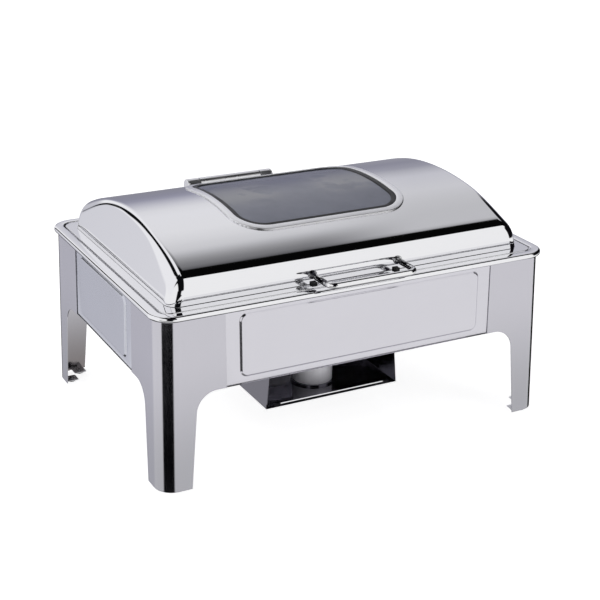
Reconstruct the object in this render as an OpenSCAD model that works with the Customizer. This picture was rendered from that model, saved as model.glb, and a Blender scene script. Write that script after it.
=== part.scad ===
// Roll top chafer: a pressed steel stand with a rolled rim, a water pan and a
// full-size food pan, a barrel-shaped lid with a window on a damped rear hinge,
// and a slide-out tray with two fuel cups.
// The origin is on the table, under the middle of the stand. -Y is the serving side.

/* [Pans] */
// Length of the food pan over its flange
pan_l = 530; // [440:1:640]
// Width of the food pan over its flange
pan_w = 325; // [270:1:392]
// Depth of the food pan below its flange
pan_depth = 62; // [40:1:75]
// Width of the food pan's flange
pan_flange = 13; // [10:0.5:16]
// Corner radius of the food pan's flange
pan_corner_r = 48; // [35:1:58]
// Height of the water space under the food pan
water_gap = 8; // [5:1:16]
// Sheet thickness of both pans
pan_t = 1.2; // [0.8:0.1:1.6]

/* [Stand] */
// Height of the legs' top edge above the table
stand_h = 256; // [213:1:308]
// Height of the open arches between the legs
arch_h = 145.5; // [122:0.5:165]
// Margin from the pan flange's ends to the outside of the stand
end_margin = 49; // [46:1:60]
// Margin from the pan flange's sides to the outside of the stand
side_margin = 60.5; // [56:0.5:74]
// How far each wall stands further out at the table than at the rim
splay = 6; // [2:0.5:10]
// Outer radius of the vertical corners of the legs
corner_r = 28; // [24:1:34]
// Width of a leg's front face at the top, up to the seam
leg_top_x = 97; // [80:1:118]
// Width of a leg's side face at the top, up to the seam
leg_top_y = 105; // [88:1:126]
// Width of a leg's front face at the table
foot_x = 47; // [42:1:56]
// Width of a leg's side face at the table
foot_y = 50; // [44:1:60]
// Radius of the arch where a leg runs into a panel
arch_r = 32; // [20:1:36]
// How much a leg's inner edge leans, per mm of height
leg_slope = 0.085; // [0.02:0.005:0.1]
// Sheet thickness of the legs
leg_t = 1.2; // [1:0.1:1.5]
// Sheet thickness of the panels
panel_t = 0.8; // [0.6:0.1:1.2]
// How far a panel reaches behind a leg
panel_lap = 12; // [8:1:18]
// Plain border round the pressed field of a panel
field_border = 20; // [14:1:26]
// How far the pressed field stands out
field_h = 2.4; // [1.5:0.1:3]
// Corner radius of the pressed field
field_r = 12; // [8:1:18]
// Depth of the turned-in lower edge of a panel
panel_return = 14; // [12:1:18]

/* [Rim] */
// Radius of the rolled bead round the rim
bead_r = 4.5; // [4:0.25:5.5]
// How far the bead stands out past the legs
bead_out = 6; // [5:0.5:7]
// Width of the rim from the bead's edge to the drop into the groove
rim_w = 15; // [13:0.5:18]
// Depth of the groove and ledge that carry the water pan
ledge_drop = 6.6; // [5:0.2:8]
// Width of the ledge
ledge_w = 16; // [12:1:17]
// Gap between the rim and the water pan
groove_w = 2.5; // [1.5:0.25:3.5]

/* [Lid] */
// From the stand's outside to the lid's foot, at the ends
lid_inset_x = 25; // [22:1:28]
// From the stand's outside to the lid's foot, at front and back
lid_inset_y = 27; // [25:1:30]
// Height of the lid's straight sides up to the barrel's edge
skirt_h = 33; // [31:1:40]
// Rise of the barrel from its edges to its top
crown = 45; // [37:1:54]
// Radius of the bend between side and barrel
bend_r = 30; // [24:1:31]
// How much the lid's end walls lean in, per mm of height
end_lean = 0.25; // [0:0.05:0.3]
// Radius of the lid's vertical corners
lid_corner_r = 20; // [12:1:26]
// Sheet thickness of the lid
lid_t = 1.2; // [1:0.1:1.5]
// Gap under the lid's foot, filled by the bumpers
lid_gap = 1.5; // [1:0.1:3]

/* [Window] */
// Length of the window's cut-out
window_l = 268; // [200:1:336]
// Width of the window's cut-out
window_w = 226; // [188:1:240]
// Corner radius of the cut-out
window_r = 42; // [30:1:55]
// Width of the bright trim round the window
trim_w = 11; // [8:0.5:13]
// Height of the bright trim above the lid
trim_h = 2.2; // [1.5:0.1:3]
// Width of the gasket that shows
gasket_w = 9.5; // [6:0.5:10]
// Thickness of the glass
glass_t = 3; // [2.5:0.1:4]

/* [Handle] */
// Width of the handle between its arms' centres
handle_w = 140; // [110:1:168]
// Reach of the handle from the lid to the middle of its bar
handle_reach = 53; // [44:1:64]
// Diameter of the handle's rod
handle_d = 9; // [8:0.5:11]
// Radius of the handle's bends, at the rod's middle
handle_bend = 13; // [10:1:18]
// Height of the handle above the lid's foot
handle_z = 13; // [12:0.5:15]

/* [Hinge] */
// Length of the hinge over its end caps
hinge_l = 156; // [130:2:188]
// Radius of the hinge barrel
hinge_r = 12.5; // [10.5:0.5:13.5]
// Radius of the hinge pin
pin_r = 4; // [3:0.5:5]
// Running clearance round the hinge pin and cover pivots
run_gap = 0.05; // [0.02:0.01:0.1]
// Length of one lid knuckle
knuckle_l = 19; // [14:1:24]
// How far the hinge axis lies behind the stand's back
hinge_back = 15; // [12:0.5:16]
// Height of the hinge axis above the rim
hinge_rise = 23.5; // [18:0.5:25]

/* [Fuel tray] */
// Width of the tray's floor
tray_w = 226; // [188:1:270]
// Depth of the tray from front to back
tray_d = 274; // [240:1:320]
// Height of the tray's floor above the table
tray_z = 50; // [30:1:58]
// Sheet thickness of the tray and its rails
tray_t = 1; // [0.8:0.1:1.5]
// Height of the low lips at front and back
lip_h = 6; // [4:0.5:10]
// Outside diameter of a fuel cup
cup_d = 62; // [51:1:75]
// Height of a fuel cup
cup_h = 58; // [48:1:66]
// Distance of each cup's centre from the middle
cup_y = 70; // [62:1:84]

/* [Hidden] */
$fn = 64;

steel = [0.80, 0.81, 0.84];
satin = [0.70, 0.71, 0.74];
black = [0.08, 0.08, 0.09];
smoke = [0.35, 0.36, 0.38];

// small distances used in several places
touch = 0.05;
past = 1;

// stand
stand_l = pan_l + 2 * end_margin;
stand_w = pan_w + 2 * side_margin;
base_l = stand_l + 2 * splay;
base_w = stand_w + 2 * splay;
seam_x = stand_l / 2 - leg_top_x;
seam_y = stand_w / 2 - leg_top_y;
foot_in_x = base_l / 2 - foot_x;
foot_in_y = base_w / 2 - foot_y;
leg_lift = 1.5;
slope_a = atan(leg_slope);
wall_slope = atan(splay / stand_h);
leg_tilt = atan(sqrt(2) * splay / stand_h);
lap_gap = 0.1;

// foot tabs, pads and rivets
tab_size = 20;
pad_h = 2.5;
pad_r = 8;
tab_top = pad_h + leg_t;
rivet_r = 2;
rivet_head_r = 3.8;
rivet_head_h = 1.4;
tab_spots = [
    [base_l / 2 - 33, base_w / 2 - leg_t - tab_size / 2],
    [base_l / 2 - leg_t - tab_size / 2, base_w / 2 - 36]
];

// rim
rim_l = stand_l + 2 * bead_out;
rim_ww = stand_w + 2 * bead_out;
rim_corner = corner_r + bead_out;
rim_top = stand_h + 2 * bead_r;
rim_t = 1.4;
ledge_z = rim_top - ledge_drop;
hook_in = bead_out + leg_t + lap_gap + panel_t + touch;

// pans
deck_inset = rim_w + groove_w;
deck_l = rim_l - 2 * deck_inset;
deck_w = rim_ww - 2 * deck_inset;
deck_r = rim_corner - deck_inset;
deck_top = rim_top - 0.5;
body_l = pan_l - 2 * pan_flange;
body_w = pan_w - 2 * pan_flange;
body_r = pan_corner_r - pan_flange;
seat_gap = 3;
well_l = body_l + 2 * seat_gap;
well_w = body_w + 2 * seat_gap;
well_r = body_r + seat_gap;
well_floor = deck_top - pan_depth - water_gap;

// lid
lid_l = stand_l - 2 * lid_inset_x;
lid_w = stand_w - 2 * lid_inset_y;
lid_foot = deck_top + lid_gap;
lid_top = lid_foot + skirt_h + crown;
barrel_r = (pow(lid_w / 2, 2) + pow(crown, 2)) / (2 * crown);
barrel_z = lid_top - barrel_r;
bend_y = lid_w / 2 - bend_r;
bend_z = barrel_z + sqrt(pow(barrel_r - bend_r, 2) - pow(bend_y, 2));

// window, measured from the lid's outer skin
gasket_up = 1.4;
gasket_down = 4.6;
glass_down = 0.5;
glass_grip = 5;

// handle
arm_z = lid_foot + handle_z;
stud_r = 2.5;
washer_r = 6.5;
washer_t = 2;
nut_r = 4.6;
nut_t = 4;
stud_end = 3;
nut_over = max(0, arm_z + nut_r - bend_z);
nut_seat = bend_r - sqrt(pow(bend_r - lid_t, 2) - pow(nut_over, 2)) + touch;

// hinge
axis_y = stand_w / 2 + hinge_back;
axis_z = rim_top + hinge_rise;
cap_t = 3;
hinge_washer_t = 1;
knuckle_out = hinge_l / 2 - cap_t - touch;
knuckle_in = knuckle_out - knuckle_l;
barrel_half = knuckle_in - hinge_washer_t - 2 * touch;
base_t = 2.5;
base_front = rim_ww / 2 - rim_w + 0.3;
base_back = rim_ww / 2 - bead_r;
arm_plate_t = 2.5;
arm_plate_h = 13;
arm_plate_side = 11;
arm_rivet_x = [knuckle_in - arm_plate_side / 2, knuckle_out + arm_plate_side / 2];
screw_r = 2;
screw_head_r = 3.6;
screw_head_h = 2;

// tray, rails and cups
rail_gap = 0.6;
tray_flange = 10;
rail_top = arch_h + panel_t;
tray_top = arch_h - 3.5;
tray_wall_lean = 0.085;
tray_wall_top = tray_w / 2 - tray_wall_lean * (tray_top - tray_z);
rail_web = tray_wall_top + tray_flange + rail_gap;
rail_lip = 8;
rail_hook = 14;
return_in = leg_t + lap_gap + panel_t + panel_return;
rail_half = stand_w / 2 - return_in - 2;
rail_reach = stand_w / 2 - leg_t - panel_t - 3;
cup_t = 1;
cup_floor = tray_z + tray_t;
cup_top = cup_floor + cup_h;
cover_t = 1;
cover_gap = 0.4;
cover_r = cup_d / 2 + 1;
pivot_r = 2;
pivot_boss_r = 4.5;
pivot_off = cup_d / 2 + pivot_boss_r - 0.5;
pivot_boss_h = 12;
cover_tab = 12;

// ---- shapes used by several parts ----

// A rectangle with round corners, centred.
module round_rect(l, w, r) {
    square([l - 2 * r, w], center = true);
    square([l, w - 2 * r], center = true);
    for (x = [-1, 1], y = [-1, 1]) {
        translate([x * (l / 2 - r), y * (w / 2 - r)]) circle(r = r);
    }
}

// A section carried round a rounded rectangle. The section's x is the distance
// in from the outer edge, and its y is the height.
module rim_sweep(l, w, r) {
    for (turn = [0, 180]) rotate([0, 0, turn]) {
        translate([-(l / 2 - r), -w / 2, 0]) rotate([90, 0, 90])
            linear_extrude(l - 2 * r) children();
        translate([-l / 2, w / 2 - r, 0]) rotate([90, 0, 0])
            linear_extrude(w - 2 * r) children();
    }
    for (i = [0:3]) {
        sx = (i == 0 || i == 3) ? 1 : -1;
        sy = (i < 2) ? 1 : -1;
        translate([sx * (l / 2 - r), sy * (w / 2 - r), 0]) rotate([0, 0, 90 * i])
            rotate_extrude(angle = 90) translate([r, 0]) mirror([1, 0]) children();
    }
}

// A square with one round corner at the origin, reaching back along -X and -Y.
module corner_square(size, r) {
    translate([-size, -size]) square([size - r, size]);
    translate([-size, -size]) square([size, size - r]);
    translate([-r, -r]) circle(r = r);
}

// The section of a leg: two flanges and the round corner between them.
module leg_section() {
    size = max(leg_top_x, leg_top_y) + 4 * splay;
    difference() {
        corner_square(size, corner_r);
        translate([-leg_t, -leg_t]) corner_square(size, corner_r - leg_t);
    }
}

// One face of a leg, seen square on: x is the distance from the stand's middle.
module leg_face(seam, foot_in, out) {
    cz = arch_h - arch_r;
    cx = foot_in - leg_slope * cz - arch_r / cos(slope_a);
    difference() {
        polygon([
            [seam, stand_h], [out, stand_h], [out, leg_lift],
            [foot_in - leg_slope * leg_lift, leg_lift],
            [cx + arch_r * cos(slope_a), cz + arch_r * sin(slope_a)],
            [cx, arch_h], [seam, arch_h]
        ]);
        translate([cx, cz]) circle(r = arch_r);
    }
}

// A leg is that section on a slope, cut to the outlines of its two faces, with a
// turned-in tab at the foot of each face.
module leg(sx, sy) {
    deep = splay + corner_r + 2 * past;
    mirror([sx < 0 ? 1 : 0, 0, 0]) mirror([0, sy < 0 ? 1 : 0, 0]) difference() {
        union() {
            intersection() {
                translate([stand_l / 2, stand_w / 2, stand_h]) rotate(a = leg_tilt, v = [1, -1, 0])
                    translate([0, 0, -stand_h - corner_r]) linear_extrude(stand_h + 2 * corner_r)
                        leg_section();
                union() {
                    translate([0, base_w / 2 + past, 0]) rotate([90, 0, 0]) linear_extrude(deep)
                        leg_face(seam_x, foot_in_x, base_l / 2 + past);
                    translate([base_l / 2 + past - deep, 0, 0]) rotate([90, 0, 90])
                        linear_extrude(deep) leg_face(seam_y, foot_in_y, base_w / 2 + past);
                }
            }
            for (spot = tab_spots) translate([spot[0], spot[1], pad_h + leg_t / 2])
                cube([tab_size, tab_size, leg_t], center = true);
        }
        for (spot = tab_spots) translate([spot[0], spot[1], pad_h - past])
            cylinder(r = rivet_r + touch, h = leg_t + 2 * past);
    }
}

// The pressed field of a panel, seen square on, with heights below the leg's top.
module field(half, grow) {
    low = arch_h + field_border / 2 - stand_h;
    high = -bead_r;
    translate([0, (low + high) / 2])
        round_rect(2 * (half - field_border + grow), high - low + 2 * grow, field_r + grow);
}

// A sheet on a panel's slope, between two depths behind the leg's outer face.
module sloped(near, far) {
    translate([0, -near, 0]) rotate([90, 0, 0]) linear_extrude(far - near) children();
}

// A panel that spans two legs: border, raised field and turned-in lower edge.
module panel(half, wall, slope, turn) {
    skin = leg_t + lap_gap;
    low = arch_h - stand_h;
    wide = 2 * (half + panel_lap);
    rotate([0, 0, turn]) translate([0, wall, stand_h]) rotate([slope, 0, 0]) {
        sloped(skin, skin + panel_t) difference() {
            translate([-wide / 2, low]) square([wide, -low]);
            field(half, -panel_t);
        }
        sloped(leg_t - field_h, leg_t - field_h + panel_t) field(half, 0);
        sloped(leg_t - field_h, skin + panel_t) difference() {
            field(half, 0);
            field(half, -panel_t);
        }
        sloped(skin, return_in) translate([-wide / 2, low]) square([wide, panel_t]);
    }
}

// The lid's cross-section: straight sides, a bend and a flat barrel.
module lid_section(inset) {
    foot = inset > 0 ? lid_foot - past : lid_foot;
    tall = lid_top - foot + past;
    intersection() {
        translate([0, foot + tall / 2]) square([lid_w - 2 * inset, tall], center = true);
        union() {
            translate([0, (foot + bend_z) / 2])
                square([lid_w - 2 * inset, bend_z - foot], center = true);
            for (s = [-1, 1]) translate([s * bend_y, bend_z]) circle(r = bend_r - inset);
            intersection() {
                translate([0, barrel_z]) circle(r = barrel_r - inset, $fn = 128);
                polygon([
                    [0, barrel_z],
                    [-2 * bend_y, barrel_z + 2 * (bend_z - barrel_z)],
                    [2 * bend_y, barrel_z + 2 * (bend_z - barrel_z)]
                ]);
            }
        }
    }
}

// The lid's outer shape, taken in by a sheet thickness for its hollow.
module lid_solid(inset) {
    end_in = inset * sqrt(1 + end_lean * end_lean);
    foot = inset > 0 ? lid_foot - past : lid_foot;
    half = lid_l / 2 - end_in - end_lean * (foot - lid_foot);
    tall = lid_top - foot + past;
    intersection() {
        translate([-lid_l / 2 - past, 0, 0]) rotate([90, 0, 90])
            linear_extrude(lid_l + 2 * past) lid_section(inset);
        translate([0, lid_w / 2 + past, 0]) rotate([90, 0, 0])
            linear_extrude(lid_w + 2 * past) polygon([
                [-half, foot], [half, foot],
                [half - end_lean * tall, foot + tall], [-half + end_lean * tall, foot + tall]
            ]);
        translate([0, 0, foot - past]) linear_extrude(tall + 2 * past)
            round_rect(2 * half + past, lid_w - 2 * inset, lid_corner_r - inset);
    }
}

// A curved sheet that follows the lid's barrel between two distances from its
// outer skin, cut to a flat outline seen from above.
module barrel_sheet(low, high) {
    intersection() {
        translate([-lid_l / 2, 0, barrel_z]) rotate([0, 90, 0]) difference() {
            cylinder(r = barrel_r + high, h = lid_l, $fn = 128);
            translate([0, 0, -past])
                cylinder(r = barrel_r + low, h = lid_l + 2 * past, $fn = 128);
        }
        translate([0, 0, lid_foot]) linear_extrude(skirt_h + crown + 5 * past) children();
    }
}

module window_outline(grow) {
    round_rect(window_l + 2 * grow, window_w + 2 * grow, window_r + grow);
}

// ---- stand ----

module leg_front_left() { color(steel) leg(-1, -1); }
module leg_front_right() { color(steel) leg(1, -1); }
module leg_rear_left() { color(steel) leg(-1, 1); }
module leg_rear_right() { color(steel) leg(1, 1); }

module panel_front() { color(satin) panel(seam_x, stand_w / 2, wall_slope, 180); }
module panel_rear() { color(satin) panel(seam_x, stand_w / 2, wall_slope, 0); }
module panel_left() { color(satin) panel(seam_y, stand_l / 2, wall_slope, 90); }
module panel_right() { color(satin) panel(seam_y, stand_l / 2, wall_slope, -90); }

module top_rim() {
    color(steel) rim_sweep(rim_l, rim_ww, rim_corner) {
        union() {
            translate([bead_r, rim_top - bead_r]) circle(r = bead_r);
            translate([bead_r, rim_top - rim_t]) square([rim_w - bead_r, rim_t]);
            translate([rim_w - rim_t, ledge_z - rim_t]) square([rim_t, ledge_drop + rim_t]);
            translate([rim_w - rim_t, ledge_z - rim_t]) square([ledge_w, rim_t]);
            translate([hook_in, stand_h - 2 * bead_r]) square([rim_t, 4 * bead_r - rim_t / 2]);
        }
    }
}

module foot_pads() {
    color(black) for (sx = [-1, 1], sy = [-1, 1], spot = tab_spots)
        translate([sx * spot[0], sy * spot[1], 0]) difference() {
            cylinder(r = pad_r, h = pad_h);
            translate([0, 0, pad_h - 1.5]) cylinder(r = rivet_r + touch, h = 1.5 + past);
        }
}

module foot_rivets() {
    color(steel) for (sx = [-1, 1], sy = [-1, 1], spot = tab_spots)
        translate([sx * spot[0], sy * spot[1], 0]) {
            translate([0, 0, pad_h - 1.4]) cylinder(r = rivet_r, h = leg_t + 1.4 + past / 2);
            translate([0, 0, tab_top]) cylinder(r = rivet_head_r, h = rivet_head_h);
        }
}

// ---- pans ----

module water_pan() {
    color(satin) {
        difference() {
            translate([0, 0, deck_top - pan_t]) linear_extrude(pan_t)
                round_rect(deck_l, deck_w, deck_r);
            translate([0, 0, deck_top - pan_t - past]) linear_extrude(pan_t + 2 * past)
                round_rect(well_l, well_w, well_r);
        }
        difference() {
            translate([0, 0, ledge_z]) linear_extrude(deck_top - ledge_z)
                round_rect(deck_l, deck_w, deck_r);
            translate([0, 0, ledge_z - past]) linear_extrude(deck_top - ledge_z + 2 * past)
                round_rect(deck_l - 2 * pan_t, deck_w - 2 * pan_t, deck_r - pan_t);
        }
        difference() {
            translate([0, 0, well_floor - pan_t]) linear_extrude(deck_top - well_floor + pan_t)
                round_rect(well_l + 2 * pan_t, well_w + 2 * pan_t, well_r + pan_t);
            translate([0, 0, well_floor]) linear_extrude(deck_top - well_floor + past)
                round_rect(well_l, well_w, well_r);
        }
    }
}

module food_pan() {
    color(satin) difference() {
        union() {
            translate([0, 0, deck_top]) linear_extrude(pan_t)
                round_rect(pan_l, pan_w, pan_corner_r);
            translate([0, 0, deck_top - pan_depth]) linear_extrude(pan_depth + pan_t)
                round_rect(body_l, body_w, body_r);
        }
        translate([0, 0, deck_top - pan_depth + pan_t]) linear_extrude(pan_depth + past)
            round_rect(body_l - 2 * pan_t, body_w - 2 * pan_t, body_r - pan_t);
    }
}

// Two rubber stops on the water pan carry the front of the lid.
module lid_bumpers() {
    wide = 9;
    under = 4;
    front = 4;
    stop_h = 1.5;
    color(black) for (s = [-1, 1])
        translate([s * (handle_w / 2 - 2) - wide / 2, -lid_w / 2, deck_top]) {
            translate([0, -front, 0]) cube([wide, front + under, lid_gap]);
            translate([0, -front, 0]) cube([wide, front - 0.6, lid_gap + stop_h]);
        }
}

// ---- lid ----

module lid_shell() {
    color(steel) difference() {
        lid_solid(0);
        lid_solid(lid_t);
        translate([0, 0, lid_foot + skirt_h]) linear_extrude(crown + 2 * past) window_outline(0);
        for (s = [-1, 1]) translate([s * handle_w / 2, -lid_w / 2 - past, arm_z])
            rotate([-90, 0, 0]) cylinder(r = stud_r + touch, h = 10);
        for (s = [-1, 1], x = arm_rivet_x)
            translate([s * x, lid_w / 2 + past, lid_foot + arm_plate_h / 2 + 1])
                rotate([90, 0, 0]) cylinder(r = rivet_r + touch, h = 10);
    }
}

module window_glass() {
    color(smoke) barrel_sheet(-glass_down - glass_t, -glass_down)
        window_outline(-gasket_w + glass_grip);
}

module window_gasket() {
    color(black) difference() {
        barrel_sheet(-gasket_down, gasket_up) difference() {
            window_outline(-touch);
            window_outline(-gasket_w);
        }
        barrel_sheet(-glass_down - glass_t - touch, -glass_down + touch)
            window_outline(-gasket_w + glass_grip + touch);
    }
}

module window_trim() {
    color(steel) barrel_sheet(touch, trim_h) difference() {
        window_outline(trim_w);
        window_outline(touch);
    }
}

module window_retainer() {
    color(satin) barrel_sheet(-gasket_down, -lid_t - touch) difference() {
        window_outline(trim_w);
        window_outline(touch);
    }
}

module lid_handle() {
    bar_y = -lid_w / 2 - handle_reach;
    color(steel) {
        for (s = [-1, 1]) {
            translate([s * handle_w / 2, bar_y + handle_bend, arm_z]) rotate([-90, 0, 0])
                cylinder(d = handle_d, h = handle_reach - handle_bend - washer_t);
            translate([s * handle_w / 2, -lid_w / 2 - washer_t - past, arm_z])
                rotate([-90, 0, 0])
                    cylinder(r = stud_r, h = washer_t + past + nut_seat + nut_t + stud_end);
        }
        translate([-(handle_w / 2 - handle_bend), bar_y, arm_z]) rotate([0, 90, 0])
            cylinder(d = handle_d, h = handle_w - 2 * handle_bend);
        translate([-(handle_w / 2 - handle_bend), bar_y + handle_bend, arm_z])
            rotate([0, 0, 180]) rotate_extrude(angle = 90)
                translate([handle_bend, 0]) circle(d = handle_d);
        translate([handle_w / 2 - handle_bend, bar_y + handle_bend, arm_z])
            rotate([0, 0, 270]) rotate_extrude(angle = 90)
                translate([handle_bend, 0]) circle(d = handle_d);
    }
}

module handle_washers() {
    color(steel) for (s = [-1, 1])
        translate([s * handle_w / 2, -lid_w / 2 - washer_t, arm_z]) rotate([-90, 0, 0])
            difference() {
                cylinder(r = washer_r, h = washer_t);
                translate([0, 0, -past]) cylinder(r = stud_r + touch, h = washer_t + 2 * past);
            }
}

module handle_nuts() {
    color(satin) for (s = [-1, 1])
        translate([s * handle_w / 2, -lid_w / 2 + nut_seat, arm_z]) rotate([-90, 0, 0])
            difference() {
                cylinder(r = nut_r, h = nut_t, $fn = 6);
                translate([0, 0, -past]) cylinder(r = stud_r + touch, h = nut_t + 2 * past);
            }
}

// ---- hinge ----

module along_axis(from) {
    translate([from, axis_y, axis_z]) rotate([0, 90, 0]) children();
}

module hinge_base() {
    web_half = barrel_half - 6;
    color(steel) difference() {
        union() {
            along_axis(-barrel_half) cylinder(r = hinge_r, h = 2 * barrel_half);
            translate([-web_half, 0, 0]) rotate([90, 0, 90]) linear_extrude(2 * web_half)
                polygon([
                    [base_front, rim_top], [base_back, rim_top],
                    [axis_y + hinge_r * sin(20), axis_z - hinge_r * cos(20)],
                    [axis_y, axis_z], [axis_y - hinge_r, axis_z],
                    [base_back - 2, rim_top + base_t],
                    [base_front, rim_top + base_t]
                ]);
        }
        along_axis(-barrel_half - past) cylinder(r = pin_r + touch, h = 2 * (barrel_half + past));
    }
}

module hinge_screws() {
    reach = barrel_half - 14;
    color(satin) for (x = [-reach, 0, reach])
        translate([x, base_front + screw_head_r + touch, rim_top + base_t])
            cylinder(r1 = screw_head_r, r2 = screw_head_r - 1.2, h = screw_head_h, $fn = 32);
}

module hinge_pin() {
    color(steel) along_axis(-hinge_l / 2 + cap_t / 2) cylinder(r = pin_r, h = hinge_l - cap_t);
}

module hinge_caps() {
    color(steel) for (s = [0, 1]) mirror([s, 0, 0]) along_axis(hinge_l / 2 - cap_t)
        difference() {
            union() {
                cylinder(r = hinge_r, h = cap_t - 1);
                translate([0, 0, cap_t - 1]) cylinder(r1 = hinge_r, r2 = hinge_r - 1, h = 1);
            }
            translate([0, 0, -past]) cylinder(r = pin_r + touch, h = cap_t / 2 + past + touch);
        }
}

module hinge_washers() {
    color(black) for (s = [0, 1]) mirror([s, 0, 0])
        along_axis(barrel_half + touch) difference() {
            cylinder(r = hinge_r - 1, h = hinge_washer_t);
            translate([0, 0, -past]) cylinder(r = pin_r + touch, h = hinge_washer_t + 2 * past);
        }
}

// A knuckle on the pin with an arm that runs to a plate on the lid's back.
module hinge_arm(side) {
    plate_back = lid_w / 2 + arm_plate_t;
    low = lid_foot + 1;
    color(steel) mirror([side < 0 ? 1 : 0, 0, 0]) difference() {
        union() {
            along_axis(knuckle_in) cylinder(r = hinge_r, h = knuckle_l);
            translate([knuckle_in, 0, 0]) rotate([90, 0, 90]) linear_extrude(knuckle_l)
                polygon([
                    [lid_w / 2, low], [plate_back, low],
                    [axis_y - hinge_r * sin(8), axis_z - hinge_r * cos(8)],
                    [axis_y, axis_z],
                    [axis_y - hinge_r * sin(25), axis_z + hinge_r * cos(25)],
                    [plate_back, low + arm_plate_h], [lid_w / 2, low + arm_plate_h - 1]
                ]);
            translate([knuckle_in - arm_plate_side, lid_w / 2, low])
                cube([knuckle_l + 2 * arm_plate_side, arm_plate_t, arm_plate_h - 1]);
        }
        along_axis(knuckle_in - past) cylinder(r = pin_r + run_gap, h = knuckle_l + 2 * past);
        for (x = arm_rivet_x) translate([x, plate_back + past, lid_foot + arm_plate_h / 2 + 1])
            rotate([90, 0, 0]) cylinder(r = rivet_r + touch, h = arm_plate_t + 2 * past);
    }
}

module hinge_arm_left() { hinge_arm(-1); }
module hinge_arm_right() { hinge_arm(1); }

module hinge_arm_rivets() {
    stack = arm_plate_t + lid_t;
    color(satin) for (s = [-1, 1], x = arm_rivet_x)
        translate([s * x, lid_w / 2 + arm_plate_t, lid_foot + arm_plate_h / 2 + 1])
            rotate([90, 0, 0]) {
                translate([0, 0, -rivet_head_h]) cylinder(r = rivet_head_r, h = rivet_head_h);
                cylinder(r = rivet_r, h = stack);
                translate([0, 0, stack]) cylinder(r = rivet_head_r, h = rivet_head_h);
            }
}

// ---- fuel tray ----

// The rails hang inside the lower edges of the front and rear panels.
module tray_rail(side) {
    lip_z = tray_top - tray_t - 2 * touch;
    web_low = lip_z - tray_t;
    color(satin) mirror([side < 0 ? 1 : 0, 0, 0]) difference() {
        union() {
            translate([rail_web - rail_lip, -rail_half, web_low])
                cube([rail_lip, 2 * rail_half, tray_t]);
            translate([rail_web, -rail_half, web_low])
                cube([tray_t, 2 * rail_half, rail_top + tray_t - web_low]);
            translate([rail_web, -rail_reach, rail_top]) cube([rail_hook, 2 * rail_reach, tray_t]);
        }
        for (s = [-1, 1]) translate([rail_web + rail_hook / 2, s * (rail_half + 8), rail_top - past])
            cylinder(r = rivet_r + touch, h = tray_t + 2 * past);
    }
}

module tray_rail_left() { tray_rail(-1); }
module tray_rail_right() { tray_rail(1); }

module rail_rivets() {
    color(steel) for (sx = [-1, 1], sy = [-1, 1])
        translate([sx * (rail_web + rail_hook / 2), sy * (rail_half + 8), rail_top]) {
            cylinder(r = rivet_r, h = tray_t + past / 2);
            translate([0, 0, tray_t]) cylinder(r = rivet_head_r, h = rivet_head_h);
        }
}

module fuel_tray() {
    wall_top = tray_wall_top;
    half = tray_w / 2;
    color(satin) {
        translate([0, tray_d / 2, 0]) rotate([90, 0, 0]) linear_extrude(tray_d) polygon([
            [-half, tray_z], [half, tray_z], [wall_top, tray_top - tray_t],
            [wall_top + tray_flange, tray_top - tray_t], [wall_top + tray_flange, tray_top],
            [wall_top - tray_t, tray_top], [half - tray_t, tray_z + tray_t],
            [-half + tray_t, tray_z + tray_t], [-wall_top + tray_t, tray_top],
            [-wall_top - tray_flange, tray_top],
            [-wall_top - tray_flange, tray_top - tray_t], [-wall_top, tray_top - tray_t]
        ]);
        for (s = [-1, 1]) translate([0, s * (tray_d / 2 - tray_t / 2), tray_z + lip_h / 2])
            cube([tray_w - 26, tray_t, lip_h], center = true);
        for (s = [-1, 1]) translate([0, s * cup_y, cup_floor - touch]) difference() {
            cylinder(d = cup_d + 8, h = 3);
            translate([0, 0, touch]) cylinder(d = cup_d + 1, h = 3 + past);
        }
    }
}

// A cup with a lug beside its rim; the lug ends in a headed pivot for the cover.
module fuel_cup(turn) {
    head_z = cup_top + cover_gap + cover_t + cover_gap;
    color(steel) rotate([0, 0, turn]) translate([0, -cup_y, 0]) {
        difference() {
            union() {
                translate([0, 0, cup_floor]) cylinder(d = cup_d, h = cup_h);
                translate([pivot_off, 0, cup_top - pivot_boss_h])
                    cylinder(r = pivot_boss_r, h = pivot_boss_h);
            }
            translate([0, 0, cup_floor + cup_t]) cylinder(d = cup_d - 2 * cup_t, h = cup_h);
        }
        translate([pivot_off, 0, cup_top - past]) cylinder(r = pivot_r, h = head_z - cup_top + 2 * past);
        translate([pivot_off, 0, head_z]) cylinder(r = rivet_head_r, h = rivet_head_h);
    }
}

module fuel_cup_front() { fuel_cup(0); }
module fuel_cup_rear() { fuel_cup(180); }

// The swing cover shuts the flame down; the slot in its middle lets it breathe.
module cup_cover(turn) {
    color(satin) rotate([0, 0, turn]) translate([0, -cup_y, cup_top + cover_gap]) difference() {
        linear_extrude(cover_t) {
            circle(r = cover_r);
            translate([pivot_off, 0]) circle(r = pivot_boss_r);
            translate([cover_r - 4, -pivot_boss_r]) square([pivot_off - cover_r + 4, 2 * pivot_boss_r]);
            translate([-cover_r - cover_tab + 5, -5]) square([cover_tab, 10]);
            translate([-cover_r - cover_tab + 5, 0]) circle(r = 5);
        }
        translate([pivot_off, 0, -past]) cylinder(r = pivot_r + run_gap, h = cover_t + 2 * past);
        translate([-5, 0, -past]) cylinder(r = 3, h = cover_t + 2 * past);
    }
}

module cup_cover_front() { cup_cover(0); }
module cup_cover_rear() { cup_cover(180); }

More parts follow.
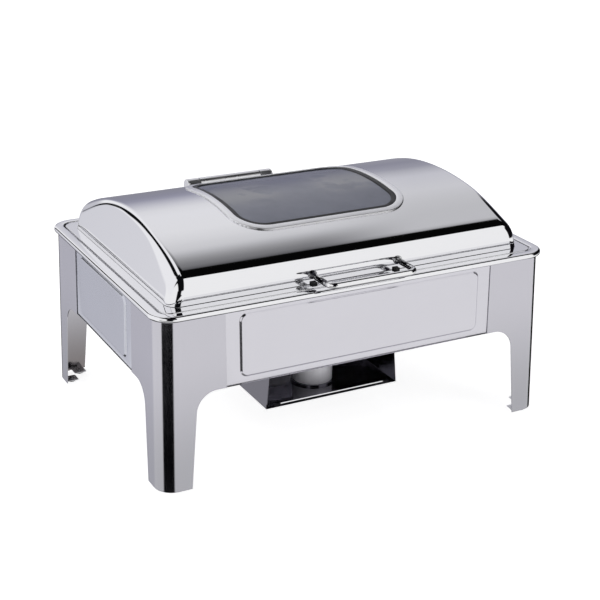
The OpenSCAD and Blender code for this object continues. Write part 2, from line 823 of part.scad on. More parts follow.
leg_front_left();
leg_front_right();
leg_rear_left();
leg_rear_right();
panel_front();
panel_rear();
panel_left();
panel_right();
top_rim();
foot_pads();
foot_rivets();
water_pan();
food_pan();
lid_bumpers();
lid_shell();
window_glass();
window_gasket();
window_trim();
window_retainer();
lid_handle();
handle_washers();
handle_nuts();
hinge_base();
hinge_pin();
hinge_caps();
hinge_washers();
hinge_screws();
hinge_arm_left();
hinge_arm_right();
hinge_arm_rivets();
tray_rail_left();
tray_rail_right();
rail_rivets();
fuel_tray();
fuel_cup_front();
fuel_cup_rear();
cup_cover_front();
cup_cover_rear();
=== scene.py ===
import math

import bmesh
import bpy
from mathutils import Matrix, Vector


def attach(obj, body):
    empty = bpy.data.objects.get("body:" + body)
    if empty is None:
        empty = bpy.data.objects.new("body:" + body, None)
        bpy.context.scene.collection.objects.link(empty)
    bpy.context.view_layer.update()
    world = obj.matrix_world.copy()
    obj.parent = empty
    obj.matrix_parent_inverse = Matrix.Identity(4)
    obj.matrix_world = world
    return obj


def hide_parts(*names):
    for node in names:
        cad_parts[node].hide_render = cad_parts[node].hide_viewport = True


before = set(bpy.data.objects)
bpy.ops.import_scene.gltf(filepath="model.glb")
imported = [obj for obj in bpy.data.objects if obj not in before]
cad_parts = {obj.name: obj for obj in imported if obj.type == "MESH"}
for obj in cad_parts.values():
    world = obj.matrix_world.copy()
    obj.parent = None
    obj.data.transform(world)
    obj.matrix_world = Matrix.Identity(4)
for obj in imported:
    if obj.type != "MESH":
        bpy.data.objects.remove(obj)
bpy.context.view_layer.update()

mm = 0.001
scene = bpy.context.scene
print("frame loaded")

# Sizes of the real parts, in millimetres, shared by the pieces below
stand = {"length": 628, "width": 446, "height": 256, "splay": 6, "corner": 28, "sheet": 1.2,
         "seamX": 217, "seamY": 118, "archHeight": 145.5, "archRadius": 32, "lean": 0.085,
         "footX": 273, "footY": 179, "lift": 1.5}
lid = {"length": 578, "width": 392, "foot": 265.2, "barrelRadius": 449.3, "barrelZ": -105.3,
       "bendY": 166, "bendRadius": 30, "endLean": 0.25, "cornerRound": 20, "edgeRound": 9, "roundFrom": 80, "roundTo": 186,
       "sheet": 1.2,
       "barrelSteps": 96, "bendSteps": 14, "roundSteps": 10}
window = {"length": 268, "width": 226, "corner": 42, "trim": 11, "gasket": 9.5}



def nodeGroup(name, inputs, outputs):
    group = bpy.data.node_groups.new(name, "ShaderNodeTree")
    for label, kind, value in inputs:
        socket = group.interface.new_socket(label, in_out="INPUT", socket_type=kind)
        if value is not None:
            socket.default_value = value
    for label, kind in outputs:
        group.interface.new_socket(label, in_out="OUTPUT", socket_type=kind)
    return group, group.nodes.new("NodeGroupInput"), group.nodes.new("NodeGroupOutput")


def addNode(tree, kind, links=(), **settings):
    node = tree.nodes.new(kind)
    for key, value in settings.items():
        setattr(node, key, value)
    for socket, source in links:
        if hasattr(source, "is_output"):
            tree.links.new(source, node.inputs[socket])
        else:
            node.inputs[socket].default_value = source
    return node


def mathNode(tree, operation, *values):
    node = tree.nodes.new("ShaderNodeMath")
    node.operation = operation
    for index, value in enumerate(values):
        if hasattr(value, "is_output"):
            tree.links.new(value, node.inputs[index])
        else:
            node.inputs[index].default_value = value
    return node.outputs[0]


# A soft mask that is one between two limits
def gate(tree, value, low, high, soft):
    rise = addNode(tree, "ShaderNodeMapRange", [
        ("Value", value), ("From Min", low - soft), ("From Max", low + soft)],
        interpolation_type="SMOOTHSTEP")
    fall = addNode(tree, "ShaderNodeMapRange", [
        ("Value", value), ("From Min", high - soft), ("From Max", high + soft),
        ("To Min", 1.0), ("To Max", 0.0)], interpolation_type="SMOOTHSTEP")
    return mathNode(tree, "MULTIPLY", rise.outputs[0], fall.outputs[0])


def blend(tree, share, first, second):
    mix = addNode(tree, "ShaderNodeMix", data_type="RGBA")
    for socket, value in (("Factor", share), ("A", first), ("B", second)):
        if hasattr(value, "is_output"):
            tree.links.new(value, mix.inputs[socket])
        else:
            mix.inputs[socket].default_value = value
    return mix.outputs["Result"]


# Soft cloudy patches where hands and cloths have dulled the polish
def makeSmudges():
    group, start, end = nodeGroup("smudges", [
        ("Vector", "NodeSocketVector", None), ("Scale", "NodeSocketFloat", 9.0),
        ("Low", "NodeSocketFloat", 0.05), ("High", "NodeSocketFloat", 0.12)],
        [("Value", "NodeSocketFloat")])
    noise = addNode(group, "ShaderNodeTexNoise", [
        ("Vector", start.outputs["Vector"]), ("Scale", start.outputs["Scale"]),
        ("Detail", 5.0), ("Roughness", 0.62)])
    spread = addNode(group, "ShaderNodeMapRange", [
        ("Value", noise.outputs[0]), ("From Min", 0.32), ("From Max", 0.72),
        ("To Min", start.outputs["Low"]), ("To Max", start.outputs["High"])])
    group.links.new(spread.outputs[0], end.inputs["Value"])
    return group


# Fine parallel polishing lines along one axis, as a height
def makeGrain():
    group, start, end = nodeGroup("grain", [
        ("Vector", "NodeSocketVector", None), ("Stretch", "NodeSocketVector", (1, 1, 1)),
        ("Scale", "NodeSocketFloat", 900.0)],
        [("Height", "NodeSocketFloat"), ("Tone", "NodeSocketFloat")])
    stretched = addNode(group, "ShaderNodeVectorMath", [
        (0, start.outputs["Vector"]), (1, start.outputs["Stretch"])], operation="MULTIPLY")
    lines = addNode(group, "ShaderNodeTexNoise", [
        ("Vector", stretched.outputs[0]), ("Scale", start.outputs["Scale"]),
        ("Detail", 3.0), ("Roughness", 0.7)])
    tone = addNode(group, "ShaderNodeMapRange", [
        ("Value", lines.outputs[0]), ("From Min", 0.3), ("From Max", 0.7),
        ("To Min", 0.94), ("To Max", 1.0)])
    group.links.new(lines.outputs[0], end.inputs["Height"])
    group.links.new(tone.outputs[0], end.inputs["Tone"])
    return group


# Sparse hair scratches left by wiping, as a mask
def makeScratches():
    group, start, end = nodeGroup("scratches", [
        ("Vector", "NodeSocketVector", None), ("Scale", "NodeSocketFloat", 26.0)],
        [("Mask", "NodeSocketFloat")])
    wander = addNode(group, "ShaderNodeTexNoise", [
        ("Vector", start.outputs["Vector"]), ("Scale", 7.0), ("Detail", 1.0)])
    mixed = addNode(group, "ShaderNodeVectorMath", [
        (0, start.outputs["Vector"]), (1, wander.outputs["Color"])], operation="ADD")
    cells = addNode(group, "ShaderNodeTexVoronoi", [
        ("Vector", mixed.outputs[0]), ("Scale", start.outputs["Scale"])],
        feature="DISTANCE_TO_EDGE")
    mask = addNode(group, "ShaderNodeMapRange", [
        ("Value", cells.outputs["Distance"]), ("From Min", 0.0), ("From Max", 0.006),
        ("To Min", 1.0), ("To Max", 0.0)])
    group.links.new(mask.outputs[0], end.inputs["Mask"])
    return group


smudges, grain, scratches = makeSmudges(), makeGrain(), makeScratches()


def placeGroup(tree, group, links):
    node = tree.nodes.new("ShaderNodeGroup")
    node.node_tree = group
    for socket, source in links:
        if hasattr(source, "is_output"):
            tree.links.new(source, node.inputs[socket])
        else:
            node.inputs[socket].default_value = source
    return node


# Stainless steel: tint, how dull it is, and which way it was brushed
def steelMaterial(name, tint, low, high, stretch, bump, cloud=9.0, shade=0.93):
    material = bpy.data.materials.new(name)
    material.use_nodes = True
    tree = material.node_tree
    shader = tree.nodes["Principled BSDF"]
    shader.inputs["Metallic"].default_value = 1.0
    place = tree.nodes.new("ShaderNodeTexCoord").outputs["Object"]
    dull = placeGroup(tree, smudges, [("Vector", place), ("Scale", cloud), ("Low", low), ("High", high)])
    lines = placeGroup(tree, grain, [("Vector", place), ("Stretch", stretch)])
    hairs = placeGroup(tree, scratches, [("Vector", place)])
    worn = mathNode(tree, "MULTIPLY_ADD", hairs.outputs["Mask"], 0.06, dull.outputs["Value"])
    tree.links.new(worn, shader.inputs["Roughness"])
    tint = tuple(tint)
    dark = tuple(c * shade for c in tint)
    toned = addNode(tree, "ShaderNodeMix", data_type="RGBA")
    toned.inputs["A"].default_value = (*dark, 1)
    toned.inputs["B"].default_value = (*tint, 1)
    toneShare = addNode(tree, "ShaderNodeMapRange", [
        ("Value", lines.outputs["Tone"]), ("From Min", 0.94), ("From Max", 1.0)])
    tree.links.new(toneShare.outputs[0], toned.inputs["Factor"])
    tree.links.new(toned.outputs["Result"], shader.inputs["Base Color"])
    bumped = addNode(tree, "ShaderNodeBump", [
        ("Strength", bump), ("Distance", 0.00006), ("Height", lines.outputs["Height"])])
    tree.links.new(bumped.outputs[0], shader.inputs["Normal"])
    return material


# Rubber and nylon: nearly black with a fine mottle and a faint bloom
def rubberMaterial(name, tint, rough, size):
    material = bpy.data.materials.new(name)
    material.use_nodes = True
    tree = material.node_tree
    shader = tree.nodes["Principled BSDF"]
    shader.inputs["IOR"].default_value = 1.5
    place = tree.nodes.new("ShaderNodeTexCoord").outputs["Object"]
    dull = placeGroup(tree, smudges, [("Vector", place), ("Scale", 60.0), ("Low", rough - 0.08), ("High", rough + 0.08)])
    mottle = addNode(tree, "ShaderNodeTexNoise", [("Vector", place), ("Scale", size), ("Detail", 3.0)])
    toned = addNode(tree, "ShaderNodeMix", [("Factor", mottle.outputs[0])], data_type="RGBA")
    toned.inputs["A"].default_value = (*[c * 0.7 for c in tint], 1)
    toned.inputs["B"].default_value = (*[c * 1.3 for c in tint], 1)
    tree.links.new(toned.outputs["Result"], shader.inputs["Base Color"])
    tree.links.new(dull.outputs["Value"], shader.inputs["Roughness"])
    bumped = addNode(tree, "ShaderNodeBump", [("Strength", 0.25), ("Distance", 0.0001), ("Height", mottle.outputs[0])])
    tree.links.new(bumped.outputs[0], shader.inputs["Normal"])
    return material


# Smoked heat-proof glass, a little clouded from inside
def glassMaterial():
    material = bpy.data.materials.new("smokedGlass")
    material.use_nodes = True
    tree = material.node_tree
    shader = tree.nodes["Principled BSDF"]
    shader.inputs["Transmission Weight"].default_value = 0.25
    shader.inputs["IOR"].default_value = 1.5
    place = tree.nodes.new("ShaderNodeTexCoord").outputs["Object"]
    dull = placeGroup(tree, smudges, [("Vector", place), ("Scale", 14.0), ("Low", 0.03), ("High", 0.16)])
    cloud = addNode(tree, "ShaderNodeTexNoise", [("Vector", place), ("Scale", 11.0), ("Detail", 4.0)])
    toned = addNode(tree, "ShaderNodeValToRGB", [("Fac", cloud.outputs[0])])
    toned.color_ramp.elements[0].position, toned.color_ramp.elements[1].position = 0.35, 0.75
    toned.color_ramp.elements[0].color = (0.25, 0.27, 0.36, 1)
    toned.color_ramp.elements[1].color = (0.37, 0.39, 0.50, 1)
    tree.links.new(toned.outputs[0], shader.inputs["Base Color"])
    tree.links.new(dull.outputs["Value"], shader.inputs["Roughness"])
    return material


finishes = {
    "lidSteel": steelMaterial("lidSteel", (0.86, 0.86, 0.88), 0.02, 0.06, (0.04, 1, 1), 0.05, 9.0, 0.985),
    "legSteel": steelMaterial("legSteel", (0.59, 0.58, 0.63), 0.10, 0.16, (1, 1, 0.03), 0.15, 9.0, 0.975),
    "panelSteel": steelMaterial("panelSteel", (0.69, 0.68, 0.73), 0.16, 0.24, (0.04, 1, 1), 0.15, 9.0, 0.975),
    # Painted shade: the side panels' copy of the panel steel, brushed the other way, is tinted darker and bluer than
    # the front and rear panels'
    "sideSteel": steelMaterial("sideSteel", (0.63, 0.64, 0.70), 0.16, 0.24, (1, 0.04, 1), 0.15, 9.0, 0.975),
    "rimSteel": steelMaterial("rimSteel", (0.88, 0.88, 0.90), 0.03, 0.07, (1, 1, 1), 0.08, 9.0, 0.985),
    "trimSteel": steelMaterial("trimSteel", (0.98, 0.98, 1.0), 0.32, 0.38, (1, 1, 1), 0.05, 9.0, 0.99),
    "deckSteel": steelMaterial("deckSteel", (0.86, 0.86, 0.88), 0.06, 0.12, (0.05, 1, 1), 0.1, 9.0, 0.98),
    "tabSteel": steelMaterial("tabSteel", (0.80, 0.80, 0.83), 0.34, 0.42, (1, 1, 1), 0.2, 30.0),
    "panSteel": steelMaterial("panSteel", (0.76, 0.76, 0.78), 0.16, 0.26, (0.05, 1, 1), 0.3),
    "handleSteel": steelMaterial("handleSteel", (0.90, 0.90, 0.91), 0.02, 0.05, (1, 1, 1), 0.05, 30.0),
    "hingeSteel": steelMaterial("hingeSteel", (0.86, 0.86, 0.88), 0.26, 0.34, (0.05, 1, 1), 0.2, 30.0),
    # Painted reflection: the tray's steel is tinted far darker than steel, for the dark its polished inside mirrors
    "traySteel": steelMaterial("traySteel", (0.19, 0.185, 0.21), 0.05, 0.09, (1, 0.05, 1), 0.1, 4.0),
    "cupSteel": steelMaterial("cupSteel", (0.93, 0.92, 0.97), 0.34, 0.42, (1, 1, 0.05), 0.2, 30.0),
    "fixingSteel": steelMaterial("fixingSteel", (0.68, 0.68, 0.70), 0.18, 0.28, (1, 1, 1), 0.3, 60.0),
    "gasketRubber": rubberMaterial("gasketRubber", (0.022, 0.022, 0.026), 0.45, 500.0),
    "footRubber": rubberMaterial("footRubber", (0.02, 0.02, 0.021), 0.6, 700.0),
    "washerNylon": rubberMaterial("washerNylon", (0.03, 0.03, 0.032), 0.4, 400.0),
    "smokedGlass": glassMaterial(),
}


# Paints a tone onto a finish inside soft limits of the piece's own axes, used below for painted shade, painted
# reflections and a painted highlight; x counts from the middle both ways
def paintLightAndShade(finish, tint, limits, streaks=0):
    tree = finishes[finish].node_tree
    place = tree.nodes.new("ShaderNodeTexCoord").outputs["Object"]
    axes = addNode(tree, "ShaderNodeSeparateXYZ", [(0, place)]).outputs
    values = {"x": mathNode(tree, "ABSOLUTE", axes[0]), "y": axes[1], "z": axes[2]}
    mask = None
    for axis, (low, high, soft) in limits.items():
        part = gate(tree, values[axis], low, high, soft)
        mask = part if mask is None else mathNode(tree, "MULTIPLY", mask, part)
    if streaks:
        noise = addNode(tree, "ShaderNodeTexNoise", [("Vector", place), ("Scale", streaks), ("Detail", 2.0)])
        patchy = addNode(tree, "ShaderNodeMapRange", [
            ("Value", noise.outputs[0]), ("From Min", 0.38), ("From Max", 0.5), ("To Min", 0.25)])
        mask = mathNode(tree, "MULTIPLY", mask, patchy.outputs[0])
    colour = tree.nodes["Principled BSDF"].inputs["Base Color"]
    before = colour.links[0].from_socket
    tree.links.new(blend(tree, mask, before, (*tint, 1)), colour)


finishes["cupSteel"].node_tree.nodes["Principled BSDF"].inputs["Metallic"].default_value = 0.1
# Painted shade: the legs are painted darker towards the bottom
paintLightAndShade("legSteel", (0.42, 0.42, 0.45), {"z": (-1, 0.11, 0.10)})
# Painted shade: the rear legs' inner faces are painted dark brown low down, inside the stand
paintLightAndShade("legSteel", (0.20, 0.18, 0.18), {"x": (-1, 0.309, 0.003), "y": (0.2195, 1, 0.001), "z": (-1, 0.07, 0.09)})
# Painted reflection: a black strip meant for the rear legs' rounded corners; its x limit lies below zero, where x
# never is, so it does not show
paintLightAndShade("legSteel", (0.02, 0.02, 0.022), {"x": (-1, -0.3095, 0.0005), "y": (0.199, 1, 0.0006)})
# Painted reflection: the front face of the tray's lip is painted near black
paintLightAndShade("traySteel", (0.012, 0.012, 0.014), {"y": (-1, -0.1355, 0.0003), "z": (-1, 0.0575, 0.0004)})
# Painted highlight: a thin near-white line along the top edge of the tray's front lip
paintLightAndShade("traySteel", (0.95, 0.95, 0.97), {"x": (-1, 0.089, 0.001), "y": (-1, -0.1355, 0.0003),
                                            "z": (0.0545, 0.0575, 0.0003)})
# Painted reflection: the handle's arms are painted near black in noisy patches
paintLightAndShade("handleSteel", (0.03, 0.03, 0.04), {"x": (0.0625, 1, 0.002), "y": (-0.2415, 1, 0.004)}, 90.0)
# Painted reflection: pale patches along a band across the glass, clear of its middle
paintLightAndShade("smokedGlass", (0.50, 0.51, 0.56), {"x": (0.04, 1, 0.03), "y": (-0.03, 0.05, 0.03)}, 24.0)
print("materials made")



def arcPoints(centre, radius, start, stop, steps):
    turns = [math.radians(start + (stop - start) * i / steps) for i in range(steps + 1)]
    return [(centre[0] + radius * math.cos(t), centre[1] + radius * math.sin(t)) for t in turns]


def addChain(bm, points, closed=False):
    verts = [bm.verts.new(p) for p in points]
    edges = [bm.edges.new(pair) for pair in zip(verts, verts[1:])]
    if closed:
        edges.append(bm.edges.new((verts[-1], verts[0])))
    return verts, edges


def roundedFace(bm, length, width, radius, height, steps=12):
    grid = bmesh.ops.create_grid(bm, x_segments=1, y_segments=1, size=0.5)["verts"]
    bmesh.ops.scale(bm, vec=(length, width, 1), verts=grid)
    bmesh.ops.translate(bm, vec=(0, 0, height), verts=grid)
    rounded = bmesh.ops.bevel(bm, geom=grid, offset=radius, segments=steps, profile=0.5,
                              affect="VERTICES", material=-1)["verts"]
    return rounded[0].link_faces[0]


# Walks a face inwards and up or down, so its edge becomes a wall, a bead or a fillet
def stepFace(bm, face, steps):
    for inward, rise in steps:
        bmesh.ops.inset_region(bm, faces=[face], thickness=inward, depth=rise,
                               use_boundary=True, use_even_offset=True)
    return face


def quarter(radius, count, first="rise", sign=1):
    moves = []
    for i in range(count):
        a, b = math.pi / 2 * i / count, math.pi / 2 * (i + 1) / count
        along, over = radius * (math.sin(b) - math.sin(a)), radius * (math.cos(a) - math.cos(b))
        moves.append((over, sign * along) if first == "rise" else (along, sign * over))
    return moves


# Carries a closed section round a rounded rectangle with extrusions and spins
def sweepRound(bm, section, length, width, radius, steps=14):
    points = [(length / 2 - inward, -(width / 2 - radius), z) for inward, z in section]
    verts, edges = addChain(bm, points, closed=True)
    runs = [(0, width - 2 * radius), (-(length - 2 * radius), 0),
            (0, -(width - 2 * radius)), (length - 2 * radius, 0)]
    corners = [(1, 1), (-1, 1), (-1, -1), (1, -1)]
    for (dx, dy), (sx, sy) in zip(runs, corners):
        moved = bmesh.ops.extrude_edge_only(bm, edges=edges)["geom"]
        verts = [g for g in moved if isinstance(g, bmesh.types.BMVert)]
        bmesh.ops.translate(bm, vec=(dx, dy, 0), verts=verts)
        edges = [g for g in moved if isinstance(g, bmesh.types.BMEdge)]
        spun = bmesh.ops.spin(bm, geom=verts + edges, axis=(0, 0, 1), angle=math.pi / 2, steps=steps,
                              cent=(sx * (length / 2 - radius), sy * (width / 2 - radius), 0),
                              use_merge=False, use_duplicate=False)["geom_last"]
        edges = [g for g in spun if isinstance(g, bmesh.types.BMEdge)]
    bmesh.ops.remove_doubles(bm, verts=bm.verts, dist=0.01)
    bmesh.ops.recalc_face_normals(bm, faces=bm.faces)


def finishPiece(bm, name, body, finish, nodes=(), sharp=35, thickness=0, bevel=0, merge=True):
    if merge:
        bmesh.ops.remove_doubles(bm, verts=bm.verts, dist=0.002)
    bmesh.ops.scale(bm, vec=(mm, mm, mm), verts=bm.verts)
    mesh = bpy.data.meshes.new(name)
    bm.to_mesh(mesh)
    bm.free()
    piece = bpy.data.objects.new(name, mesh)
    scene.collection.objects.link(piece)
    mesh.shade_smooth()
    mesh.set_sharp_from_angle(angle=math.radians(sharp))
    if thickness:
        wall = piece.modifiers.new("wall", "SOLIDIFY")
        wall.thickness, wall.offset, wall.use_even_offset = thickness * mm, -1, True
    if bevel:
        soften = piece.modifiers.new("soften", "BEVEL")
        soften.width, soften.segments, soften.limit_method = bevel * mm, 2, "ANGLE"
        soften.angle_limit, soften.miter_outer = math.radians(sharp), "MITER_SHARP"
        soften.use_clamp_overlap = True
    if thickness or bevel:
        even = piece.modifiers.new("even", "WEIGHTED_NORMAL")
        even.keep_sharp = True
    mesh.materials.append(finishes[finish])
    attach(piece, body)
    if nodes:
        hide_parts(*nodes)
    return piece


# A merged copy of a CAD node with softened edges
def softCopy(node, name, body, finish, bevel=0.35, sharp=32, flat=0.6):
    bm = bmesh.new()
    bm.from_mesh(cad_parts[node].data)
    bmesh.ops.remove_doubles(bm, verts=bm.verts, dist=2e-6)
    bmesh.ops.dissolve_limit(bm, angle_limit=math.radians(flat), verts=bm.verts, edges=bm.edges,
                             use_dissolve_boundaries=False, delimit={"NORMAL"})
    bmesh.ops.scale(bm, vec=(1 / mm,) * 3, verts=bm.verts)
    return finishPiece(bm, name, body, finish, [node], sharp=sharp, bevel=bevel, merge=False)


# Lays a flat piece on the lid's barrel: its height becomes a distance off the skin
def wrapOnBarrel(bm, pitch=6):
    reach = max(v.co.y for v in bm.verts)
    count = int(reach / pitch)
    for i in range(-count, count + 1):
        bmesh.ops.bisect_plane(bm, geom=bm.verts[:] + bm.edges[:] + bm.faces[:], dist=0.01,
                               plane_co=(0, i * pitch, 0), plane_no=(0, 1, 0))
    for v in bm.verts:
        radius = lid["barrelRadius"] + v.co.z
        v.co.z = lid["barrelZ"] + math.sqrt(radius ** 2 - v.co.y ** 2)



def bendZ():
    reach = lid["barrelRadius"] - lid["bendRadius"]
    return lid["barrelZ"] + math.sqrt(reach ** 2 - lid["bendY"] ** 2)


# Points of the lid's section from the front foot to the rear foot, each with its outward normal
def lidProfile():
    span = math.degrees(math.atan2(lid["bendY"], bendZ() - lid["barrelZ"]))
    arcs = [((-lid["bendY"], bendZ()), lid["bendRadius"], 180, 90 + span, lid["bendSteps"]),
            ((0, lid["barrelZ"]), lid["barrelRadius"], 90 + span, 90 - span, lid["barrelSteps"]),
            ((lid["bendY"], bendZ()), lid["bendRadius"], 90 - span, 0, lid["bendSteps"])]
    half = lid["width"] / 2
    points = [(-half, lid["foot"], -1.0, 0.0)]
    for centre, radius, start, stop, steps in arcs:
        for y, z in arcPoints(centre, radius, start, stop, steps):
            points.append((y, z, (y - centre[0]) / radius, (z - centre[1]) / radius))
    points.append((half, lid["foot"], 1.0, 0.0))
    return [p for i, p in enumerate(points) if i == 0 or math.dist(p[:2], points[i - 1][:2]) > 0.01]


# The upright corners are rounded widely, the edge along the barrel tightly
def endRound(y):
    share = min(1, max(0, (abs(y) - lid["roundFrom"]) / (lid["roundTo"] - lid["roundFrom"])))
    share = share * share * (3 - 2 * share)
    return lid["edgeRound"] + (lid["cornerRound"] - lid["edgeRound"]) * share


def makeLid():
    bm = bmesh.new()
    half = lid["length"] / 2
    profile = lidProfile()
    turns = [math.pi / 2 * i / lid["roundSteps"] for i in range(lid["roundSteps"] + 1)]
    stations = [(-1, t) for t in turns] + [(1, t) for t in reversed(turns)]
    ends, edges = [], None
    for side, turn in stations:
        spots = []
        for y, z, ny, nz in profile:
            radius = endRound(y)
            sink = radius * (1 - math.sin(turn))
            y, z = y - ny * sink, z - nz * sink
            x = half - radius * (1 - math.cos(turn)) - lid["endLean"] * (z - lid["foot"])
            spots.append((side * x, y, z))
        if edges is None:
            verts, edges = addChain(bm, spots)
        else:
            moved = bmesh.ops.extrude_edge_only(bm, edges=edges)["geom"]
            edges = [g for g in moved if isinstance(g, bmesh.types.BMEdge)]
            fresh = [g for g in moved if isinstance(g, bmesh.types.BMVert)]
            byPlace = {tuple(round(c, 4) for c in v.co): v for v in fresh}
            verts = [byPlace[tuple(round(c, 4) for c in old)] for old in held]
            for v, spot in zip(verts, spots):
                v.co = spot
        held = [v.co.copy() for v in verts]
        if (side, turn) in ((-1, 0), (1, 0)):
            ends.append(verts)
    for verts in ends:
        bmesh.ops.contextual_create(bm, geom=verts)
    bmesh.ops.recalc_face_normals(bm, faces=bm.faces)
    if sum(f.normal.z for f in bm.faces if abs(f.normal.x) < 0.5) < 0:
        bmesh.ops.reverse_faces(bm, faces=bm.faces)
    for axis, limit in ((0, window["length"] / 2 + 9), (1, window["width"] / 2 + 9)):
        for side in (-1, 1):
            normal, point = Vector((0, 0, 0)), Vector((0, 0, 0))
            normal[axis], point[axis] = 1, side * limit
            high = [f for f in bm.faces if f.calc_center_median().z > 300 and f.normal.z > 0.7]
            parts = set(v for f in high for v in f.verts) | set(e for f in high for e in f.edges)
            bmesh.ops.bisect_plane(bm, geom=list(parts) + high, dist=0.01, plane_co=point, plane_no=normal)
    piece = finishPiece(bm, "lidShell", "lid", "lidSteel", ["lid_shell"], sharp=40)
    cutter = bmesh.new()
    face = roundedFace(cutter, window["length"], window["width"], window["corner"], 300)
    up = bmesh.ops.extrude_face_region(cutter, geom=[face])["geom"]
    bmesh.ops.translate(cutter, vec=(0, 0, 80), verts=[g for g in up if isinstance(g, bmesh.types.BMVert)])
    bmesh.ops.recalc_face_normals(cutter, faces=cutter.faces)
    bmesh.ops.scale(cutter, vec=(mm, mm, mm), verts=cutter.verts)
    cutMesh = bpy.data.meshes.new("windowCutter")
    cutter.to_mesh(cutMesh)
    cutter.free()
    tool = bpy.data.objects.new("windowCutter", cutMesh)
    scene.collection.objects.link(tool)
    cut = piece.modifiers.new("window", "BOOLEAN")
    cut.operation, cut.solver, cut.object = "DIFFERENCE", "EXACT", tool
    wall = piece.modifiers.new("wall", "SOLIDIFY")
    wall.thickness, wall.offset = lid["sheet"] * mm, -1
    bpy.context.view_layer.update()
    made = bpy.data.meshes.new_from_object(piece.evaluated_get(bpy.context.evaluated_depsgraph_get()))
    piece.modifiers.clear()
    piece.data = made
    made.name = "lidShell"
    even = piece.modifiers.new("even", "WEIGHTED_NORMAL")
    even.keep_sharp = True
    bpy.data.objects.remove(tool)
    return piece


def ringPiece(name, outer, inner, low, steps, finish, nodes):
    bm = bmesh.new()
    face = roundedFace(bm, window["length"] + 2 * outer, window["width"] + 2 * outer,
                       window["corner"] + outer, low, 16)
    first = [e for e in face.edges]
    face = stepFace(bm, face, steps)
    last = [e for e in face.edges]
    bmesh.ops.delete(bm, geom=[face], context="FACES_ONLY")
    bmesh.ops.bridge_loops(bm, edges=first + last)
    bmesh.ops.recalc_face_normals(bm, faces=bm.faces)
    wrapOnBarrel(bm)
    return finishPiece(bm, name, "lid", finish, nodes, sharp=50)


def makeWindow():
    top = quarter(1.1, 5, "rise")
    down = quarter(0.9, 4, "inward", -1)
    flat = window["trim"] - 1.1 - 0.9
    ringPiece("windowTrim", window["trim"], 0, 0.05,
              [(0.0, 1.0)] + top + [(flat / 2, 0.12), (flat / 2, -0.12)] + down + [(0.0, -1.1)],
              "trimSteel", ["window_trim"])
    ringPiece("windowGasket", -0.05, -window["gasket"], -4.6,
              [(0.0, 5.4)] + quarter(0.6, 3, "rise") + [(5.0, -0.1)] + quarter(2.6, 4, "inward", -1)
              + [(1.2, -0.6), (0.0, -2.6)],
              "gasketRubber", ["window_gasket"])
    ringPiece("windowRetainer", window["trim"], 0, -4.6,
              quarter(0.5, 2, "rise") + [(0.0, 2.3)] + quarter(0.5, 2, "rise")
              + [(window["trim"] - 1.1, 0), (0, -3.2)],
              "fixingSteel", ["window_retainer"])
    bm = bmesh.new()
    face = roundedFace(bm, window["length"] - 6, window["width"] - 6, window["corner"] - 3, -3.5, 16)
    back = bmesh.ops.extrude_face_region(bm, geom=[face])["geom"]
    bmesh.ops.translate(bm, vec=(0, 0, 3), verts=[g for g in back if isinstance(g, bmesh.types.BMVert)])
    bmesh.ops.recalc_face_normals(bm, faces=bm.faces)
    wrapOnBarrel(bm)
    finishPiece(bm, "windowGlass", "lid", "smokedGlass", ["window_glass"], sharp=50)


makeLid()
makeWindow()
print("lid and window made")



handle = {"width": 140, "reach": 53, "rod": 9, "bend": 13, "height": 279, "seat": 2, "sides": 28,
          "bendSteps": 12, "shoulder": 0.8}


